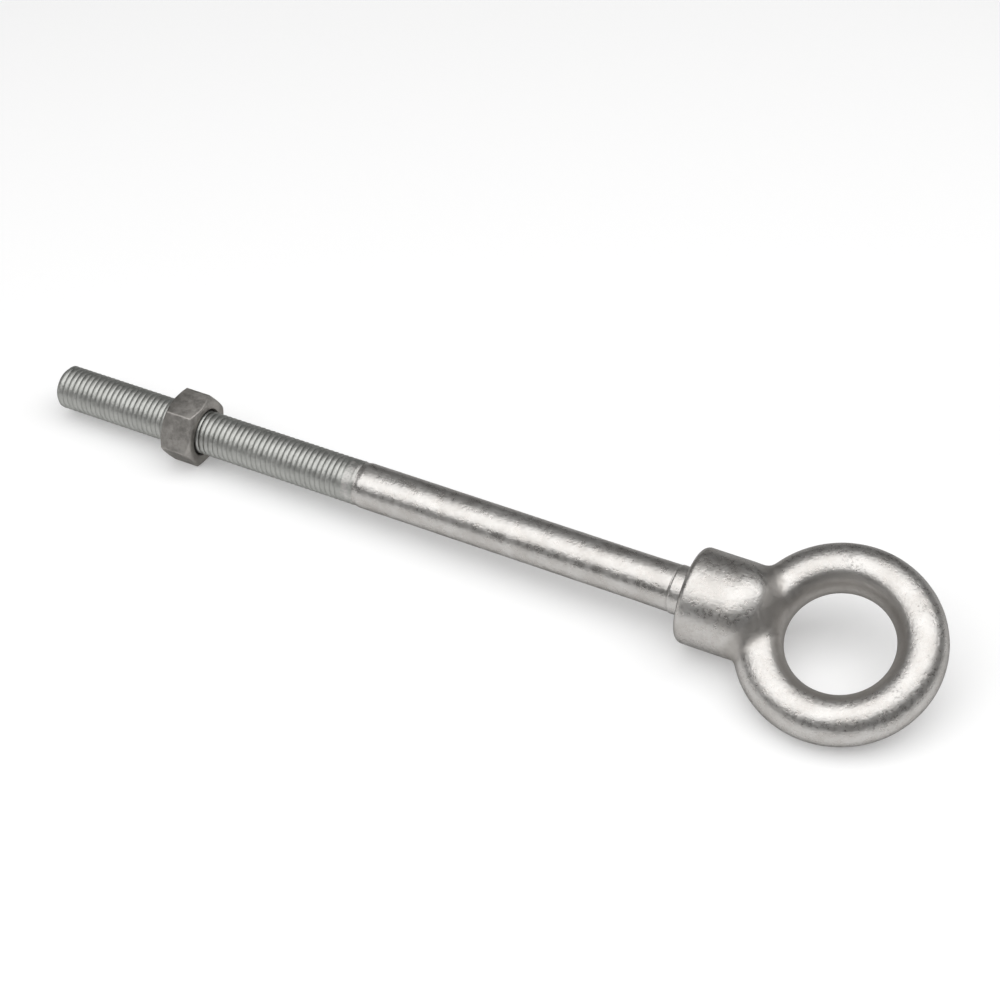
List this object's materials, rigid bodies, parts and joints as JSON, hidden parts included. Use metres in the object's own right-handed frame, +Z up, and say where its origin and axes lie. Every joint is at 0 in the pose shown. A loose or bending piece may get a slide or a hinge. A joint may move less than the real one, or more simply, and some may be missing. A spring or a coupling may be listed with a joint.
{
  "type": "bolt",
  "caption": "Forged collar eye bolt with a long part-threaded shank and a hexagon nut, for lifting or anchoring through a drilled hole.",
  "frame": {"origin": "on the floor, under the middle of the part's length, below the shank's axis", "axes": "+X along the length from the threaded tip to the eye, +Z up, as the bolt lies at rest on its collar's edge, the side of its eye and a flat of its nut"},
  "size_m": [0.3388, 0.0674, 0.0365],
  "materials": {
    "galvanised_forging": "hot-dip galvanised, satin, slightly pitted",
    "galvanised_nut": "hot-dip galvanised, dull grey"
  },
  "bodies": {
    "bolt": {"eye_bolt": "galvanised_forging"},
    "nut": {"hex_nut": "galvanised_nut"}
  },
  "joints": [
    {"name": "nut_travel", "type": "slide", "parent": "bolt", "child": "nut", "axis": [0.9997, 0, 0.0245], "range_m": [-0.048, 0.062]}
  ]
}
